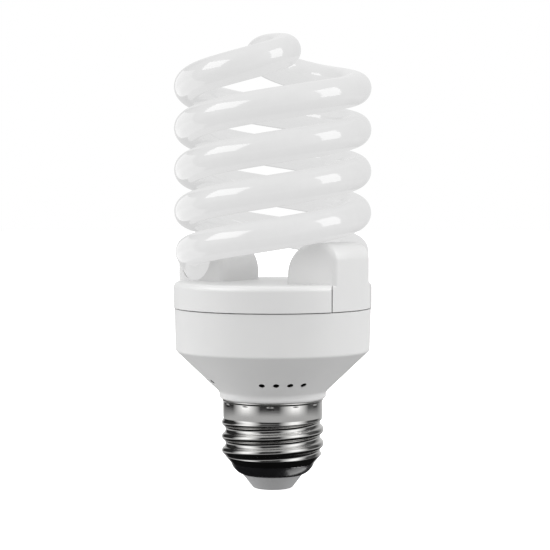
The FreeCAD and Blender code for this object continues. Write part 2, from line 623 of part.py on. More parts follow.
def add_hoods(form, name, inset, rounds):
    """Two hoods, set in by the inset, with their edges rounded."""
    hood_radius = f"({TOWER_RADIUS} - {inset})"
    half_width = f"(Sizes.tower_half_width - {inset})"
    inner = f"(Sizes.tower_inner + {inset})"
    top = f"({TOWER_TOP} - {inset})"
    corner = f"sqrt({hood_radius} ^ 2 - {half_width} ^ 2)"
    hood = form.newObject("PartDesign::Pad", name)
    hood.Profile = hood_sketch(form, name, (
        (inner, f"-{half_width}"),
        (corner, f"-{half_width}", hood_radius, -1),
        (corner, half_width),
        (inner, half_width),
    ))
    hood.setExpression("Length", f"{top} - {BAND}")
    last = repeated(form, f"{name}s", [hood], "2")
    bearing = number("Sizes.tower_bearing")

    def top_edge(edge):
        return all(abs(vertex.Z - number(top)) < SAME for vertex in edge.Vertexes)

    def inner_edge(edge):
        along = on_bearing(edge.CenterOfMass, bearing)[0]
        return top_edge(edge) and abs(abs(along) - number(inner)) < SAME

    def outer_edge(edge):
        return top_edge(edge) and edge.Curve.TypeId == "Part::GeomCircle"

    def end_edge(edge):
        spots = [edge.valueAt(at) for at in (edge.FirstParameter, edge.LastParameter)]
        spots.append(edge.CenterOfMass)
        across = [abs(on_bearing(spot, bearing)[1]) for spot in spots]
        on_end = max(across) - min(across) < SAME and abs(across[0] - number(half_width)) < SAME
        return on_end and edge.BoundBox.ZMax > number(f"{DECK} + Sizes.tower_end_round")

    wanted = {"inner": inner_edge, "outer": outer_edge, "end": end_edge}
    for label, radius in rounds:
        last = rounded(form, f"{name}_{label}_round", last, radius, wanted[label])


outer_form = new_body("cover_outer")
revolved(outer_form, "outer_disc", (
    ("0", BOARD_TOP),
    (TONGUE, BOARD_TOP),
    (TONGUE, BAND),
    (BAND_RADIUS, BAND),
    (BAND_RADIUS, f"{DECK} - Sizes.band_round", "Sizes.band_round", -1),
    (f"{BAND_RADIUS} - Sizes.band_round", DECK),
    ("0", DECK),
))
# The band stops short of each hood at a shadow groove
RECESS = "(Sizes.tower_half_width + Sizes.recess_margin)"
GROOVE_START = f"({RECESS} - Sizes.groove_width)"
GROOVE_CORNER = f"sqrt({TOWER_RADIUS} ^ 2 - {GROOVE_START} ^ 2)"
GROOVE_FLOOR = f"({GROOVE_CORNER} - Sizes.groove_depth)"
GROOVE_MOUTH = f"({GROOVE_CORNER} + Sizes.groove_depth)"
GROOVE_SHIFT = "Sizes.groove_depth * tan(Sizes.groove_lean * 1 deg)"
recess = outer_form.newObject("PartDesign::Pocket", "hood_recess")
recess.Profile = hood_sketch(outer_form, "recess", (
    (GROOVE_CORNER, f"-{GROOVE_START}", TOWER_RADIUS, -1),
    (GROOVE_CORNER, GROOVE_START),
    (GROOVE_FLOOR, f"{GROOVE_START} - {GROOVE_SHIFT}"),
    (GROOVE_FLOOR, f"{RECESS} - {GROOVE_SHIFT}"),
    (GROOVE_MOUTH, f"{RECESS} + {GROOVE_SHIFT}"),
    (f"2 * {BAND_RADIUS}", f"{RECESS} + {GROOVE_SHIFT}"),
    (f"2 * {BAND_RADIUS}", f"-{RECESS} - {GROOVE_SHIFT}"),
    (GROOVE_MOUTH, f"-{RECESS} - {GROOVE_SHIFT}"),
    (GROOVE_FLOOR, f"-{RECESS} + {GROOVE_SHIFT}"),
    (GROOVE_FLOOR, f"-{GROOVE_START} + {GROOVE_SHIFT}"),
))
recess.Reversed = True
recess.setExpression("Length", "2 * Sizes.band_height")
repeated(outer_form, "hood_recesses", [recess], "2")
add_hoods(outer_form, "outer_hood", "0", (
    ("inner", INNER_ROUND),
    ("outer", "Sizes.tower_outer_round"),
    ("end", "Sizes.tower_end_round"),
))
inner_form = new_body("cover_inner")
revolved(inner_form, "inner_disc", (
    ("0", f"{BOARD_TOP} - Sizes.cover_wall"),
    (TONGUE_BORE, f"{BOARD_TOP} - Sizes.cover_wall"),
    (TONGUE_BORE, f"{BAND} + Sizes.tongue_shoulder"),
    (COVER_BORE, f"{BAND} + Sizes.tongue_shoulder"),
    (COVER_BORE, f"{DECK} - Sizes.cover_wall"),
    ("0", f"{DECK} - Sizes.cover_wall"),
))
add_hoods(inner_form, "inner_hood", "Sizes.cover_wall", (
    ("inner", f"{INNER_ROUND} - Sizes.cover_wall"),
    ("outer", "Sizes.tower_outer_round - Sizes.cover_wall"),
))


# Glass tube: two legs wound as a double helix, joined by an S-shaped bridge over the axis
def leg_point(turn):
    """A leg's centreline, at degrees of turn above the middle of its hood."""
    entry = number(ENTRY_TURN)
    coil, tucked = number(COIL_RADIUS), number(LEG_RADIUS)
    past_entry = math.radians(entry - turn) * coil
    share = (number("Sizes.tuck_after") - past_entry) / number("Sizes.tuck_run")
    share = min(max(share, 0), 1)
    reach = tucked + (coil - tucked) * share ** 2 * (3 - 2 * share)
    run = number("Sizes.dip_run")
    travelled = max(past_entry + run, 0)
    bent = min(travelled, run)
    dip = number("Sizes.dip_slope") * (bent ** 2 / (2 * run) + travelled - bent)
    height = number(f"{DECK} + Sizes.leg_rise") + number("Sizes.leg_pitch") * turn / FULL_TURN - dip
    return at_bearing(reach, number("Sizes.tower_bearing") + turn, height)


def bridge_point(share):
    """Half of the bridge: a half circle from the helix to the axis, rising to its middle."""
    top_turn = FULL_TURN * number("Sizes.leg_turns")
    start = leg_point(top_turn)
    bearing = number("Sizes.tower_bearing") + top_turn
    bow = number(COIL_RADIUS) / 2
    slope = number("Sizes.leg_pitch") / FULL_TURN * HALF_TURN / 2
    rise = number("Sizes.bridge_rise")
    climb = rise * share ** 2 * (3 - 2 * share) + slope * share * (1 - share) ** 2
    return at_bearing(bow, bearing, start.z + climb) + at_bearing(bow, bearing + HALF_TURN * share, 0)


def turned(points, degrees):
    spin = FreeCAD.Rotation(UP, degrees)
    return [spin.multVec(point) for point in points]


def stepped(first, last):
    """Evenly spaced degrees of turn, about a path step apart."""
    steps = math.ceil((last - first) / PATH_STEP)
    return [first + (last - first) * step / steps for step in range(steps + 1)]


leg_end = -number("Sizes.leg_end_turn")
half_tube = [leg_point(turn) for turn in stepped(leg_end, FULL_TURN * number("Sizes.leg_turns"))]
half_tube += [bridge_point(turn / HALF_TURN) for turn in stepped(0, HALF_TURN)[1:]]
tube_points = half_tube + turned(half_tube, HALF_TURN)[-2::-1]
tube_curve = Part.BSplineCurve()
tube_curve.interpolate(tube_points)
# The sweep stays round where its path is given in halves, split over the axis
apex = tube_curve.parameter(half_tube[-1])
tube_halves = []
for first, last in ((tube_curve.FirstParameter, apex), (apex, tube_curve.LastParameter)):
    half = tube_curve.copy()
    half.segment(first, last)
    tube_halves.append(half.toShape())
part(swept("glass_tube", Part.Wire(tube_halves), "Sizes.glass_radius"), "spiral_tube")


# The hoods' entries follow the tube's legs
def leg_stub(side):
    """The tube's centreline from a leg's end to just outside its hood."""
    curve = tube_curve.copy()
    curve.segment(curve.FirstParameter, curve.parameter(leg_point(2 * number(ENTRY_TURN))))
    curve.rotate(FreeCAD.Placement(FreeCAD.Vector(), FreeCAD.Rotation(UP, side)))
    return Part.Wire(curve.toShape())


ENTRY_RADIUS = "Sizes.glass_radius + Sizes.entry_clearance"
hood_sides = (0, HALF_TURN)
entries = [swept("entry_hole", leg_stub(side), ENTRY_RADIUS) for side in hood_sides]
hollow_cover = cut("hollow_cover", outer_form, inner_form)
part(cut("open_cover", hollow_cover, compound("entry_holes", entries)), "tube_cover")

# Cement that holds each leg to the flat part of its hood's roof
ROOF_START = f"(Sizes.tower_inner + {INNER_ROUND})"
ROOF_END = f"(sqrt({COVER_BORE} ^ 2 - Sizes.cement_length ^ 2) - Sizes.tower_outer_round + Sizes.cover_wall)"
lumps = []
for side in hood_sides:
    lump = doc.addObject("Part::Box", "cement_lump")
    bind(lump, {
        "Length": f"{ROOF_END} - {ROOF_START} - Sizes.cement_margin",
        "Width": "Sizes.cement_length",
        "Height": "Sizes.cement_height",
    })
    bearing = f"(Sizes.tower_bearing + {side})"
    place(lump, f"{ROOF_START} * cos({bearing})", f"{ROOF_START} * sin({bearing})",
          f"{TOWER_TOP} - Sizes.cover_wall - Sizes.cement_height", bearing)
    bore = swept("cement_bore", leg_stub(side), "Sizes.glass_radius + Sizes.cement_film")
    lumps.append(cut("cement_set", lump, bore))
part(compound("cement_pair", lumps), "tube_cement")

# Circuit board on the housing's ribs, under the cover's tongue
board = doc.addObject("Part::Cylinder", "board_disc")
bind(board, {"Radius": BOARD_RADIUS, "Height": "Sizes.board_thickness"})
place(board, z=BOARD_UNDER)
part(board, "circuit_board")

# Wrap pins by the hoods, and the leads that join the tube's filaments to them
pins = []
leads = []
end_way = -tube_curve.tangent(tube_curve.FirstParameter)[0]
sideways = end_way.cross(UP).normalize()
pin_top = number(f"{BOARD_TOP} + Sizes.pin_height")
for side in hood_sides:
    for spread in ("-Sizes.pin_spread", "Sizes.pin_spread"):
        reach = f"({LEG_RADIUS} + {spread})"
        bearing = f"(Sizes.tower_bearing - Sizes.pin_turn + {side})"
        pin = doc.addObject("Part::Box", "wrap_pin")
        bind(pin, {
            "Length": "2 * Sizes.pin_half_width",
            "Width": "2 * Sizes.pin_half_width",
            "Height": "Sizes.pin_height",
        })
        place(pin, f"{reach} * cos({bearing}) - Sizes.pin_half_width",
              f"{reach} * sin({bearing}) - Sizes.pin_half_width", BOARD_TOP)
        pins.append(pin)
        foot = at_bearing(number(reach), number(bearing), pin_top)
        exit_point, way, across = turned((leg_point(leg_end), end_way, sideways), side)
        exit_point += across * number(spread)
        stub_end = exit_point + way * number("Sizes.lead_stub")
        above_pin = FreeCAD.Vector(foot.x, foot.y, (stub_end.z + pin_top) / 2)
        route = bent_wire((exit_point, stub_end, above_pin, foot), number("Sizes.lead_bend"))
        leads.append(swept("filament_lead", route, "Sizes.lead_radius"))
part(compound("pin_set", pins), "wrap_pins")
part(compound("lead_set", leads), "filament_leads")

# Leads from the board to the base: one to the shell's wall, one down the axis to the contact
bend = number("2 * Sizes.lead_bend")
board_under = number(BOARD_UNDER)
shell_foot = number(f"({NECK_END} + {NOSE_TOP}) / 2")
reach = number(f"{NECK_BORE} - Sizes.shell_lead_gap - Sizes.lead_radius")
bearing = number("Sizes.shell_lead_bearing")
route = bent_wire((
    at_bearing(reach, bearing, board_under),
    at_bearing(reach, bearing, shell_foot),
    at_bearing(number(SHELL_BORE), bearing, shell_foot),
), number("Sizes.lead_bend"))
part(swept("shell_wire", route, "Sizes.lead_radius"), "shell_lead")
reach, bearing = number("Sizes.contact_lead_reach"), number("Sizes.contact_lead_bearing")
plug_top = number(PLUG_TOP)
route = bent_wire((
    at_bearing(reach, bearing, board_under),
    at_bearing(reach, bearing, plug_top + 2 * reach),
    at_bearing(0, bearing, plug_top + reach),
    at_bearing(0, bearing, number(HOLE_END)),
), bend)
part(swept("contact_wire", route, "Sizes.lead_radius"), "contact_lead")


# Ballast parts that hang under the board
def block(name, length, width, height, edge_round):
    """A dipped block with its top at the origin, long side across the bearing."""
    form = new_body(name)
    sketch = new_sketch(form, "XY_Plane", f"{name}_outline")
    half_length, half_width = f"({length} / 2)", f"({width} / 2)"
    outline(sketch, (
        (f"-{half_width}", f"-{half_length}"),
        (half_width, f"-{half_length}"),
        (half_width, half_length),
        (f"-{half_width}", half_length),
    ))
    pad = form.newObject("PartDesign::Pad", f"{name}_pad")
    pad.Profile = sketch
    pad.Reversed = True
    pad.setExpression("Length", height)

    def below_top(edge):
        return edge.BoundBox.ZMin < -SAME

    rounded(form, f"{name}_round", pad, edge_round, below_top)
    return form


def axial(name, radius, length):
    """A two-lead part that lies along its bearing, on leads bent up into the board."""
    drop = number(f"{radius} + Sizes.axial_gap")
    foot = number(f"{length} / 2 + Sizes.axial_margin")
    route = bent_wire((
        FreeCAD.Vector(-foot, 0, 0),
        FreeCAD.Vector(-foot, 0, -drop),
        FreeCAD.Vector(foot, 0, -drop),
        FreeCAD.Vector(foot, 0, 0),
    ), number("Sizes.wire_bend"))
    bare_leads = swept(f"{name}_leads", route, "Sizes.wire_radius")
    barrel = doc.addObject("Part::Cylinder", f"{name}_barrel")
    bind(barrel, {"Radius": radius, "Height": length})
    barrel.Placement.Rotation = FreeCAD.Rotation(UP, FreeCAD.Vector(1, 0, 0))
    place(barrel, x=f"-{length} / 2", z=f"-({radius} + Sizes.axial_gap)")
    return fuse(name, [bare_leads, barrel])


body = new_body("reservoir")
CRIMP_TOP = "(-Sizes.reservoir_crimp_drop + Sizes.reservoir_crimp)"
CRIMP_END = "(-Sizes.reservoir_crimp_drop - Sizes.reservoir_crimp)"
revolved(body, "reservoir_can", (
    ("0", "0"),
    ("0", "-Sizes.reservoir_length"),
    ("Sizes.reservoir_radius - Sizes.reservoir_crimp", "-Sizes.reservoir_length"),
    ("Sizes.reservoir_radius", "-Sizes.reservoir_length + Sizes.reservoir_crimp"),
    ("Sizes.reservoir_radius", CRIMP_END, "Sizes.reservoir_crimp_radius", 1),
    ("Sizes.reservoir_radius", CRIMP_TOP),
    ("Sizes.reservoir_radius", "0"),
))
hang(body, "0", "0")
part(body, "reservoir_capacitor")

# Choke: a ferrite core with two windows, a bobbin on its middle leg and a winding on the bobbin
WINDOW_HEIGHT = "(Sizes.choke_height - 2 * Sizes.choke_yoke)"
WINDOW_WIDTH = "(Sizes.choke_width / 2 - Sizes.choke_yoke - Sizes.choke_leg / 2)"
BOBBIN_BORE = "(Sizes.choke_leg + 2 * Sizes.choke_fit)"
BOBBIN_BORE_DEEP = "(Sizes.choke_depth + 2 * Sizes.choke_fit)"
BOBBIN_HEIGHT = f"({WINDOW_HEIGHT} - 2 * Sizes.choke_fit)"
FLANGE_REACH = f"({WINDOW_WIDTH} - Sizes.choke_fit - Sizes.winding_gap)"
WOUND = f"({FLANGE_REACH} - Sizes.winding_gap)"


def centred_box(name, width, depth, height, top):
    """A box about the Z axis, depth along the bearing, from its top down."""
    box = doc.addObject("Part::Box", name)
    bind(box, {"Length": depth, "Width": width, "Height": height})
    place(box, f"-({depth}) / 2", f"-({width}) / 2", f"{top} - ({height})")
    return box


def sleeve(name, bore, deep, wall, height, top):
    """A rectangular sleeve round the middle leg."""
    return cut(name, centred_box(f"{name}_outside", f"{bore} + 2 * {wall}", f"{deep} + 2 * {wall}",
                                 height, top),
               centred_box(f"{name}_hole", bore, deep, f"2 * {height}", f"{top} + {height} / 2"))


core_block = centred_box("core_block", "Sizes.choke_width", "Sizes.choke_depth", "Sizes.choke_height", "0")
windows = []
for way in ("-1", "1"):
    window = centred_box("core_window", WINDOW_WIDTH, "2 * Sizes.choke_depth", WINDOW_HEIGHT,
                         "-Sizes.choke_yoke")
    window.setExpression("Placement.Base.y",
                         f"{way} * (Sizes.choke_leg + {WINDOW_WIDTH}) / 2 - {WINDOW_WIDTH} / 2")
    windows.append(window)
core = cut("core_cut", core_block, fuse("core_windows", windows))
BOBBIN_TOP = "(-Sizes.choke_yoke - Sizes.choke_fit)"
tube = sleeve("bobbin_tube", BOBBIN_BORE, BOBBIN_BORE_DEEP, "Sizes.bobbin_wall", BOBBIN_HEIGHT, BOBBIN_TOP)
upper = sleeve("bobbin_upper", BOBBIN_BORE, BOBBIN_BORE_DEEP, FLANGE_REACH, "Sizes.bobbin_wall", BOBBIN_TOP)
lower = sleeve("bobbin_lower", BOBBIN_BORE, BOBBIN_BORE_DEEP, FLANGE_REACH, "Sizes.bobbin_wall",
               f"{BOBBIN_TOP} - {BOBBIN_HEIGHT} + Sizes.bobbin_wall")
bobbin = fuse("bobbin_fused", [tube, upper, lower])
winding = sleeve("winding_block", f"({BOBBIN_BORE} + 2 * Sizes.bobbin_wall)",
                 f"({BOBBIN_BORE_DEEP} + 2 * Sizes.bobbin_wall)", f"({WOUND} - Sizes.bobbin_wall)",
                 f"({BOBBIN_HEIGHT} - 2 * Sizes.bobbin_wall)", f"({BOBBIN_TOP} - Sizes.bobbin_wall)")
for piece, label in ((core, "choke_core"), (bobbin, "choke_bobbin"), (winding, "choke_winding")):
    hang(piece, "Sizes.choke_reach", "Sizes.choke_bearing")
    part(piece, label)

# Drive transformer: a ferrite ring, a winding's thickness below the board, and its short windings
body = new_body("drive_ring_body")
RING_TOP = "(-Sizes.ring_coil_wall)"
RING_END = "(-Sizes.ring_coil_wall - Sizes.ring_height)"
revolved(body, "ring_turned", (
    ("Sizes.ring_bore", RING_TOP),
    ("Sizes.ring_bore", RING_END),
    ("Sizes.ring_radius", RING_END),
    ("Sizes.ring_radius", RING_TOP),
))
hang(body, "Sizes.ring_reach", "Sizes.ring_bearing")
part(body, "drive_ring")
collars = []
for index in range(int(number("Sizes.ring_coil_count"))):
    turn = f"{index} * 360 / Sizes.ring_coil_count"
    middle = "((Sizes.ring_radius + Sizes.ring_bore) / 2)"
    body_width = "(Sizes.ring_radius - Sizes.ring_bore)"
    wire = "Sizes.ring_coil_wall"
    solid = centred_box("collar_solid", "Sizes.ring_coil_width", f"{body_width} + 2 * {wire}",
                        f"Sizes.ring_height + 2 * {wire}", "0")
    rounds = []
    for radius in ("Sizes.ring_radius", "Sizes.ring_bore"):
        disc = doc.addObject("Part::Cylinder", "collar_round")
        bind(disc, {"Radius": radius, "Height": "Sizes.ring_height"})
        place(disc, f"-{middle}", "0", RING_END)
        rounds.append(disc)
    collar = cut("collar", solid, cut("collar_inside", *rounds))
    place(collar, f"{middle} * cos({turn})", f"{middle} * sin({turn})", "0", turn)
    collars.append(collar)
collar_set = compound("collar_set", collars)
hang(collar_set, "Sizes.ring_reach", "Sizes.ring_bearing")
part(collar_set, "drive_windings")

for name, label in (("resonant", "resonant_capacitor"), ("coupling", "coupling_capacitor")):
    film = block(f"{name}_film", f"Sizes.{name}_length", f"Sizes.{name}_width", f"Sizes.{name}_height",
                 "Sizes.film_round")
    hang(film, f"Sizes.{name}_reach", "Sizes.film_bearing")
    part(film, label)

# Switching transistors: round plastic bodies with one flat face
transistors = []
FLAT_EDGE = "sqrt(Sizes.transistor_radius ^ 2 - Sizes.transistor_flat ^ 2)"
for reach in ("Sizes.transistor_near", "Sizes.transistor_far"):
    body = new_body("transistor")
    sketch = new_sketch(body, "XY_Plane", "transistor_outline")
    outline(sketch, (
        ("Sizes.transistor_flat", FLAT_EDGE),
        ("Sizes.transistor_flat", f"-{FLAT_EDGE}", "Sizes.transistor_radius", 1),
        ("-Sizes.transistor_radius", "0", "Sizes.transistor_radius", 1),
    ))
    pad = body.newObject("PartDesign::Pad", "transistor_pad")
    pad.Profile = sketch
    pad.Reversed = True
    pad.setExpression("Length", "Sizes.transistor_height")
    hang(body, reach, "Sizes.transistor_bearing")
    transistors.append(body)
part(compound("transistor_pair", transistors), "switching_transistors")

# Starting thermistor: a disc on edge, held up by its wires' coating
body = new_body("starter_disc")
sketch = new_sketch(body, "YZ_Plane", "starter_outline")
outline(sketch, (
    ("Sizes.starter_radius", "-Sizes.starter_radius"),
    ("Sizes.starter_radius", "0"),
    ("-Sizes.starter_radius", "0"),
    ("-Sizes.starter_radius", "-Sizes.starter_radius", "Sizes.starter_radius", -1),
    ("0", "-2 * Sizes.starter_radius", "Sizes.starter_radius", -1),
))
pad = body.newObject("PartDesign::Pad", "starter_pad")
pad.Profile = sketch
pad.Midplane = True
pad.setExpression("Length", "Sizes.starter_width")
hang(body, "Sizes.starter_reach", "Sizes.starter_bearing")
part(body, "starting_thermistor")

# Line filter choke: a drum with two flanges
body = new_body("line_choke_drum")
DRUM_LOW = "(-Sizes.line_choke_height + Sizes.line_choke_flange)"
revolved(body, "drum_turned", (
    ("0", "0"),
    ("0", "-Sizes.line_choke_height"),
    ("Sizes.line_choke_radius", "-Sizes.line_choke_height"),
    ("Sizes.line_choke_radius", DRUM_LOW),
    ("Sizes.line_choke_waist", DRUM_LOW),
    ("Sizes.line_choke_waist", "-Sizes.line_choke_flange"),
    ("Sizes.line_choke_radius", "-Sizes.line_choke_flange"),
    ("Sizes.line_choke_radius", "0"),
))
hang(body, "Sizes.line_choke_reach", "Sizes.line_choke_bearing")
part(body, "line_choke")

# Small two-lead parts
diodes = []
for index in range(int(number("Sizes.diode_count"))):
    diode = axial("diode", "Sizes.diode_radius", "Sizes.diode_length")
    hang(diode, "Sizes.diode_reach", f"(Sizes.diode_bearing + {index} * Sizes.diode_pitch)")
    diodes.append(diode)
part(compound("diode_set", diodes), "rectifier_diodes")
fuse_link = axial("fuse_link", "Sizes.fuse_radius", "Sizes.fuse_length")
hang(fuse_link, "Sizes.fuse_reach", "Sizes.fuse_bearing")
part(fuse_link, "fuse_resistor")
tangential = []
for letter in "abc":
    bearing = f"Sizes.resistor_bearing_{letter}"
    resistor = axial("resistor", "Sizes.resistor_radius", "Sizes.resistor_length")
    hang(resistor, "Sizes.resistor_reach", bearing)
    resistor.setExpression("Placement.Rotation.Angle", f"({bearing} + 90) * 1 deg")
    tangential.append(resistor)
part(compound("resistor_set", tangential), "bias_resistors")
trigger = axial("trigger", "Sizes.trigger_radius", "Sizes.trigger_length")
hang(trigger, "Sizes.resistor_reach", "Sizes.trigger_bearing")
trigger.setExpression("Placement.Rotation.Angle", "(Sizes.trigger_bearing + 90) * 1 deg")
part(trigger, "trigger_diode")

doc.recompute()

# Nothing is written unless every object is sound
for thing in doc.Objects:
    if "Invalid" in thing.State or "Error" in thing.State:
        raise RuntimeError(f"{thing.Label} failed: {thing.State}")
for piece in parts:
    if piece.Shape.isNull() or not piece.Shape.isValid():
        raise RuntimeError(f"{piece.Label} has no sound shape")

os.makedirs("parts", exist_ok=True)
for piece in parts:
    piece.Shape.exportStep(f"parts/{piece.Label}.step")
    print(piece.Label, len(piece.Shape.Solids), round(piece.Shape.Volume, 1))
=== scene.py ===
# %% [markdown]
# # A spiral energy saving lamp
# The real lamp is a white glass tube wound as a double helix. It stands on a moulded plastic
# ballast housing with a bright screw base. The CAD model gives every piece its place and size,
# and this lesson gives each surface its finish, one piece at a time.

# %% The frame
import bpy
import math
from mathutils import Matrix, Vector


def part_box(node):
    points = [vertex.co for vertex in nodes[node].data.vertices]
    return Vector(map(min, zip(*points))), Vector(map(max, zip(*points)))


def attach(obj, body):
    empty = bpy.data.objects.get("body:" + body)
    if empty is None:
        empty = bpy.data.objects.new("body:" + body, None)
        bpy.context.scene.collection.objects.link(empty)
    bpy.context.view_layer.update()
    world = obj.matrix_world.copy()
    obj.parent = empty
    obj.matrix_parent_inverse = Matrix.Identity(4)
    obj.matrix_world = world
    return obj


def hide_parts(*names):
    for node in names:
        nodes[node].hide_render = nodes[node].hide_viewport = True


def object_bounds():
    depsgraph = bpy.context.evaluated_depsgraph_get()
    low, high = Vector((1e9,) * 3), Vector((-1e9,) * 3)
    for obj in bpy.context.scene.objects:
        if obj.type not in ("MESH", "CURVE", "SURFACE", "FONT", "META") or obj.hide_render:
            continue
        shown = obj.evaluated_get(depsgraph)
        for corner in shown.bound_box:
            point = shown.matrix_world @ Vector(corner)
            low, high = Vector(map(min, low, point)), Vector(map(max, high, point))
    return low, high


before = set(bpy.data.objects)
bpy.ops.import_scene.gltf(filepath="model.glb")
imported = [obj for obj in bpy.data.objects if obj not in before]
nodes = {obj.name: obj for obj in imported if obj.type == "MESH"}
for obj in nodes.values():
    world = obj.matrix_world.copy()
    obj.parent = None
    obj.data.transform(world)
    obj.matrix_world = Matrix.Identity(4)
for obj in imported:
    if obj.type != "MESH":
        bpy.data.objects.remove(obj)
cad_low, cad_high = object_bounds()
MM = 0.001
print("lamp height in mm:", round((cad_high.z - cad_low.z) / MM, 1), "nodes:", len(nodes))

# %% [markdown]
# ## Shader maths as Python
# A finish is a graph of shader nodes. Clicking nodes together is how most people begin, but a script
# reads better when a mask is written as a sum. This class wraps one output socket, so that
# `1 - mask * 0.3` adds the Math nodes by itself.


# %% A socket that can do sums
class Wire:
    """One output of a node, with arithmetic."""

    def __init__(self, finish, socket):
        self.finish = finish
        self.socket = socket

    def __add__(self, other):
        return self.finish.maths("ADD", self, other)

    def __radd__(self, other):
        return self.finish.maths("ADD", other, self)

    def __sub__(self, other):
        return self.finish.maths("SUBTRACT", self, other)

    def __rsub__(self, other):
        return self.finish.maths("SUBTRACT", other, self)

    def __mul__(self, other):
        return self.finish.maths("MULTIPLY", self, other)

    def __rmul__(self, other):
        return self.finish.maths("MULTIPLY", other, self)

    def __gt__(self, other):
        return self.finish.maths("GREATER_THAN", self, other)


class Finish:
    """A material, or the world, and its node graph."""

    def __init__(self, owner):
        owner.use_nodes = True
        self.owner = owner
        self.tree = owner.node_tree
        self.tree.nodes.clear()

    def node(self, kind, settings=None, sockets=None, output=0):
        """Any node: its settings first, then the values or links of its sockets."""
        made = self.tree.nodes.new(kind)
        for name, value in (settings or {}).items():
            if name == "stops":
                self.set_stops(made.color_ramp, value)
            else:
                setattr(made, name, value)
        for name, value in (sockets or {}).items():
            socket = self.find(made.inputs, name)
            if isinstance(value, Wire):
                self.tree.links.new(value.socket, socket)
            else:
                socket.default_value = value
        return Wire(self, self.find(made.outputs, output)) if made.outputs else None

    def find(self, sockets, name):
        """A socket by its number, or by its name among those in use."""
        if isinstance(name, int):
            return sockets[name]
        return next(socket for socket in sockets if socket.name == name and socket.enabled)

    def set_stops(self, ramp, stops):
        while len(ramp.elements) < len(stops):
            ramp.elements.new(1.0)
        for element, (place, shade) in zip(ramp.elements, stops):
            element.position = place
            element.color = (shade, shade, shade, 1.0)

    def maths(self, operation, first, second):
        return self.node("ShaderNodeMath", {"operation": operation}, {0: first, 1: second})

    def blend(self, mask, first, second):
        """A colour between two others, by a mask."""
        settings = {"data_type": "RGBA"}
        return self.node("ShaderNodeMix", settings, {"Factor": mask, "A": first, "B": second}, "Result")

    def place(self):
        """The point on the object, in metres."""
        return self.node("ShaderNodeTexCoord", output="Object")

    def axes(self, vector):
        """A vector's three parts."""
        return [self.node("ShaderNodeSeparateXYZ", None, {"Vector": vector}, axis) for axis in "XYZ"]

    def noise(self, size, detail=2.0, place=None):
        """Soft noise whose blotches are about `size` metres across."""
        sockets = {"Vector": place or self.place(), "Scale": 1 / size, "Detail": detail}
        return self.node("ShaderNodeTexNoise", {"noise_dimensions": "3D"}, sockets, "Fac")

    def bump(self, height, depth):
        return self.node("ShaderNodeBump", None, {"Height": height, "Distance": depth, "Strength": 1.0})

    def surface(self, **sockets):
        """End the graph with a Principled surface. An underscore in a name stands for a space."""
        named = {name.replace("_", " "): value for name, value in sockets.items()}
        skin = self.node("ShaderNodeBsdfPrincipled", None, named)
        self.node("ShaderNodeOutputMaterial", None, {"Surface": skin})
        return self.owner


def new_finish(name):
    return Finish(bpy.data.materials.new(name))


def dress(node, material):
    """Give a CAD piece its finish."""
    slots = nodes[node].data.materials
    slots.clear()
    slots.append(material)
    print(node, "wears", material.name)


print("shader helpers ready")

# %% [markdown]
# ## Moulded white plastic
# The cover and the housing are injection moulded. Up close the mould leaves a fine satin texture,
# and the plastic isn't quite one white. A flat white would look like paper, so a fine noise moves
# the surface a few microns and a broad one shifts the roughness. Inside the vents the white is
# painted nearly black, as painted shade, because hardly any light comes back out of the housing: a
# mask on the depth below the cone does that.

# %% Sizes of the cone
CONE_FOOT = 24.95 * MM
CONE_FOOT_RADIUS = 13.75 * MM
CONE_SLOPE = 1.042
VENT_CEILING = 32.0 * MM
VENT_SHADE = 0.25 * MM
print("cone radius at the vents' ceiling in mm:",
      round((CONE_FOOT_RADIUS + (VENT_CEILING - CONE_FOOT) * CONE_SLOPE) / MM, 2))


# %% White moulding
def painted_vent_shade(finish):
    """Painted shade: one inside the vents, where the white is painted nearly black, and nought on the
    cone.
    """
    x, y, height = finish.axes(finish.place())
    reach = finish.maths("POWER", x * x + y * y, 0.5)
    depth = (height - CONE_FOOT) * CONE_SLOPE + CONE_FOOT_RADIUS - reach
    return (depth > VENT_SHADE) * (VENT_CEILING - height > 0)


def moulded_white():
    finish = new_finish("moulded_white")
    broad = finish.noise(9 * MM)
    fine = finish.noise(0.16 * MM, 3.0)
    white = finish.blend(broad, (0.725, 0.725, 0.725, 1), (0.765, 0.765, 0.76, 1))
    return finish.surface(
        # painted shade: the white inside the vents is painted nearly black
        Base_Color=finish.blend(painted_vent_shade(finish), white, (0.01, 0.01, 0.01, 1)),
        Roughness=0.34 + 0.12 * broad,
        Specular_IOR_Level=0.3,
        Subsurface_Weight=0.08,
        Subsurface_Radius=(1.0, 1.0, 1.0),
        Subsurface_Scale=0.6 * MM,
        Normal=finish.bump(fine, 0.006 * MM),
    )


white_moulding = moulded_white()
for node in ("tube_cover", "ballast_housing"):
    dress(node, white_moulding)

# %% [markdown]
# ## Opal glass
# The tube is clear glass with a white powder on its inside. The powder shows white through the
# glass and the outside stays as glossy as any tube. Light also comes through from behind, so the
# tube has hardly any shade. The tube is not lit: an even emission is painted light that stands for
# that light, and a clear coat stands for the glass.


# %% Opal glass
def opal_glass():
    finish = new_finish("opal_glass")
    powder = finish.noise(2.4 * MM, 4.0)
    ripple = finish.noise(6 * MM, 1.0)
    colour = finish.blend(powder, (0.13, 0.13, 0.13, 1), (0.17, 0.17, 0.17, 1))
    return finish.surface(
        Base_Color=colour,
        Roughness=0.30 + 0.1 * powder,
        Specular_IOR_Level=0.0,
        Coat_Weight=0.5,
        Coat_IOR=1.52,
        Coat_Roughness=0.09,
        # painted light: the tube is not lit, and this even glow stands for light coming through from
        # behind
        Emission_Color=(1, 1, 1, 1),
        Emission_Strength=0.625,
        Normal=finish.bump(ripple, 0.015 * MM),
    )


glass_finish = opal_glass()
print("glass:", glass_finish.name)

